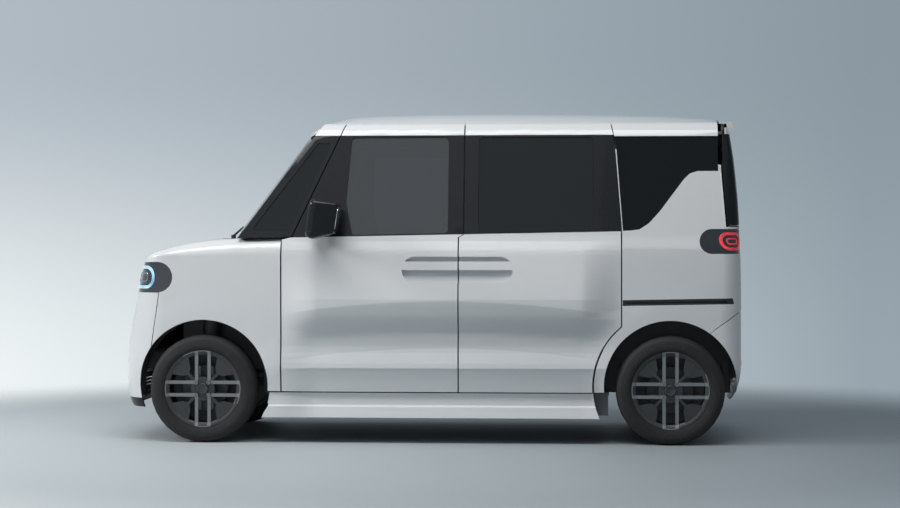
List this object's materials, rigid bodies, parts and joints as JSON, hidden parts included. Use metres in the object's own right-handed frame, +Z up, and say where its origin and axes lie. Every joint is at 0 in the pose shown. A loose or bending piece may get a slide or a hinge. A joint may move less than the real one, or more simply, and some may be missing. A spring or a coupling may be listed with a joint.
{
  "type": "electric car",
  "caption": "Small tall battery-electric wagon with hinged front doors, sliding-type rear doors, bonnet, tailgate, steered front wheels and free-rolling wheels.",
  "frame": {"origin": "centre of the plan outline at road level", "axes": "+X towards the tail, +Y towards the right side, +Z up"},
  "size_m": [3.393, 1.8784, 1.7999],
  "materials": {
    "white_paint": "gloss",
    "black_gloss": "gloss",
    "black_plastic": "matte",
    "dark_glass": "polished",
    "clear_glass": "polished",
    "head_lens": "polished",
    "tail_lens": "polished",
    "frame_steel": "satin",
    "bare_metal": "satin",
    "battery_case": "satin",
    "seat_cloth": "matte",
    "wheel_alloy": "satin",
    "tyre_rubber": "matte"
  },
  "bodies": {
    "body": {"body_frame": "frame_steel", "floor_pan": "frame_steel", "battery_pack": "battery_case", "drive_motor": "bare_metal", "roof_panel": "white_paint", "front_pillars": "black_gloss", "front_fenders": "white_paint", "front_bumper": "white_paint", "lower_grille": "black_plastic", "headlamps": "head_lens", "cowl_panel": "black_gloss", "wipers": "black_plastic", "windscreen": "clear_glass", "rear_doors": "white_paint", "side_glass": "dark_glass", "quarter_panels": "white_paint", "slide_rails": "black_gloss", "sills": "white_paint", "tail_lamps": "tail_lens", "rear_bumper": "white_paint", "arch_liners": "black_plastic", "hinge_leaves": "bare_metal", "front_suspension": "frame_steel", "rear_axle": "frame_steel", "dashboard": "black_plastic", "steering_wheel": "black_plastic", "front_seats": "seat_cloth", "rear_bench": "seat_cloth"},
    "door_left": {"front_door_left": "white_paint", "front_door_glass_left": "dark_glass", "mirror_left": "black_gloss"},
    "door_right": {"front_door_right": "white_paint", "front_door_glass_right": "dark_glass", "mirror_right": "black_gloss"},
    "bonnet": {"bonnet": "white_paint"},
    "tailgate": {"tailgate": "white_paint", "tailgate_glass": "dark_glass"},
    "steer_left": {"knuckle_left": "bare_metal"},
    "steer_right": {"knuckle_right": "bare_metal"},
    "wheel_front_left": {"rim_front_left": "wheel_alloy", "tyre_front_left": "tyre_rubber"},
    "wheel_front_right": {"rim_front_right": "wheel_alloy", "tyre_front_right": "tyre_rubber"},
    "wheel_rear_left": {"rim_rear_left": "wheel_alloy", "tyre_rear_left": "tyre_rubber"},
    "wheel_rear_right": {"rim_rear_right": "wheel_alloy", "tyre_rear_right": "tyre_rubber"}
  },
  "joints": [
    {"name": "door_left_swing", "type": "hinge", "parent": "body", "child": "door_left", "pos_m": [-0.7325, -0.69352, 0.75], "axis": [0, 0, -1], "range_deg": [0, 68]},
    {"name": "door_right_swing", "type": "hinge", "parent": "body", "child": "door_right", "pos_m": [-0.7325, 0.69352, 0.75], "axis": [0, 0, 1], "range_deg": [0, 68]},
    {"name": "bonnet_lift", "type": "hinge", "parent": "body", "child": "bonnet", "pos_m": [-1.18146, 0, 1.06069], "axis": [0, 1, 0], "range_deg": [0, 52]},
    {"name": "tailgate_lift", "type": "hinge", "parent": "body", "child": "tailgate", "pos_m": [1.592, 0, 1.71472], "axis": [0, -1, 0], "range_deg": [0, 82]},
    {"name": "steer_left_turn", "type": "hinge", "parent": "body", "child": "steer_left", "pos_m": [-1.2, -0.579, 0.2895], "axis": [0, 0, 1], "range_deg": [-35, 35]},
    {"name": "steer_right_turn", "type": "hinge", "parent": "body", "child": "steer_right", "pos_m": [-1.2, 0.579, 0.2895], "axis": [0, 0, 1], "range_deg": [-35, 35]},
    {"name": "wheel_front_left_spin", "type": "hinge", "parent": "steer_left", "child": "wheel_front_left", "pos_m": [-1.2, -0.645, 0.2895], "axis": [0, 1, 0], "continuous": true},
    {"name": "wheel_front_right_spin", "type": "hinge", "parent": "steer_right", "child": "wheel_front_right", "pos_m": [-1.2, 0.645, 0.2895], "axis": [0, 1, 0], "continuous": true},
    {"name": "wheel_rear_left_spin", "type": "hinge", "parent": "body", "child": "wheel_rear_left", "pos_m": [1.3, -0.645, 0.2895], "axis": [0, 1, 0], "continuous": true},
    {"name": "wheel_rear_right_spin", "type": "hinge", "parent": "body", "child": "wheel_rear_right", "pos_m": [1.3, 0.645, 0.2895], "axis": [0, 1, 0], "continuous": true}
  ],
  "couplings": [
    {"joint": "steer_right_turn", "follows": "steer_left_turn", "ratio": 1}
  ]
}
